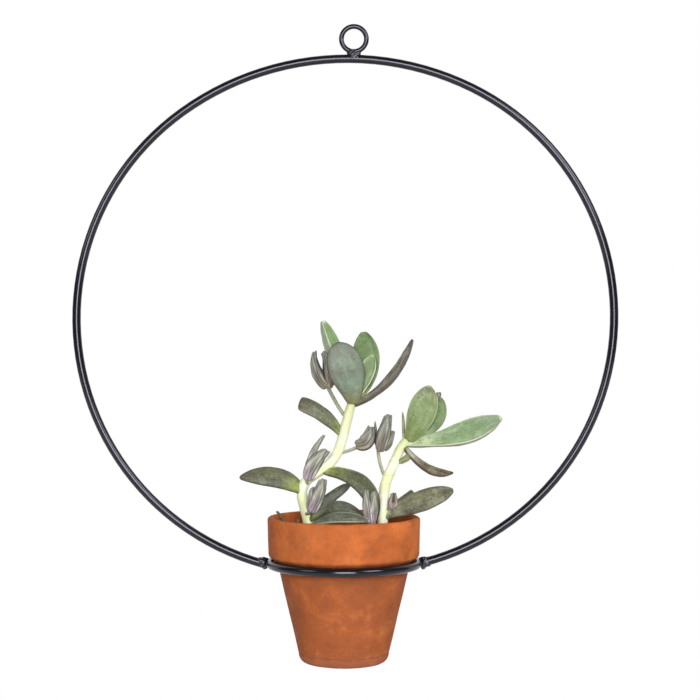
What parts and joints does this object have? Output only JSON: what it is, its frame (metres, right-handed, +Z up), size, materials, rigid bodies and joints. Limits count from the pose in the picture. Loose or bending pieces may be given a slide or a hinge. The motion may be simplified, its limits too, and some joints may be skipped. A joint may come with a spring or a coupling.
{
  "type": "hanging planter",
  "caption": "Hanging planter: a black steel rod hoop with a hanging eye and a level ring that carries a clay flower pot, planted with a paddle-leaved succulent.",
  "frame": {"origin": "centre of the hanging eye, where a hook carries the planter", "axes": "+Z up through the hook, +X to the right across the hoop as the picture shows it, +Y away from the viewer, square to the hoop's plane"},
  "size_m": [0.3823, 0.1094, 0.4462],
  "materials": {
    "black_coat": "satin",
    "terracotta": "matte",
    "soil": "matte",
    "stem": "satin",
    "young_leaf": "satin",
    "old_leaf": "satin",
    "bud": "matte",
    "dry_twig": "matte"
  },
  "bodies": {
    "frame": {"hoop": "black_coat", "hanging_eye": "black_coat", "pot_ring": "black_coat", "eye_weld": "black_coat", "left_weld": "black_coat", "right_weld": "black_coat"},
    "pot": {"pot": "terracotta"},
    "planting": {"arching_leaf": "old_leaf", "blunt_leaf": "old_leaf", "bridge_stalk": "stem", "crown_back_left_leaf": "young_leaf", "crown_back_right_leaf": "young_leaf", "crown_curved_leaf": "old_leaf", "crown_front_leaf": "young_leaf", "crown_inner_leaf": "young_leaf", "dark_leaf": "old_leaf", "far_left_leaf": "old_leaf", "left_bud": "bud", "low_dome_leaf": "old_leaf", "low_front_leaf": "old_leaf", "low_left_bud": "bud", "low_middle_bud": "bud", "low_right_back_leaf": "old_leaf", "low_right_leaf": "old_leaf", "middle_bud": "bud", "right_back_leaf": "young_leaf", "right_drooping_leaf": "old_leaf", "right_front_leaf": "young_leaf", "right_long_leaf": "young_leaf", "right_spike": "old_leaf", "right_stem": "stem", "right_stub_leaf": "old_leaf", "small_right_bud": "bud", "soil": "soil", "tall_stem": "stem", "twigs": "dry_twig", "upper_bud": "bud"}
  },
  "joints": [
    {"name": "pot_lift", "type": "slide", "parent": "frame", "child": "pot", "axis": [0, 0, 1], "range_m": [0, 0.078]},
    {"name": "root_ball_lift", "type": "slide", "parent": "pot", "child": "planting", "axis": [0, 0, 1], "range_m": [0, 0.095]}
  ]
}
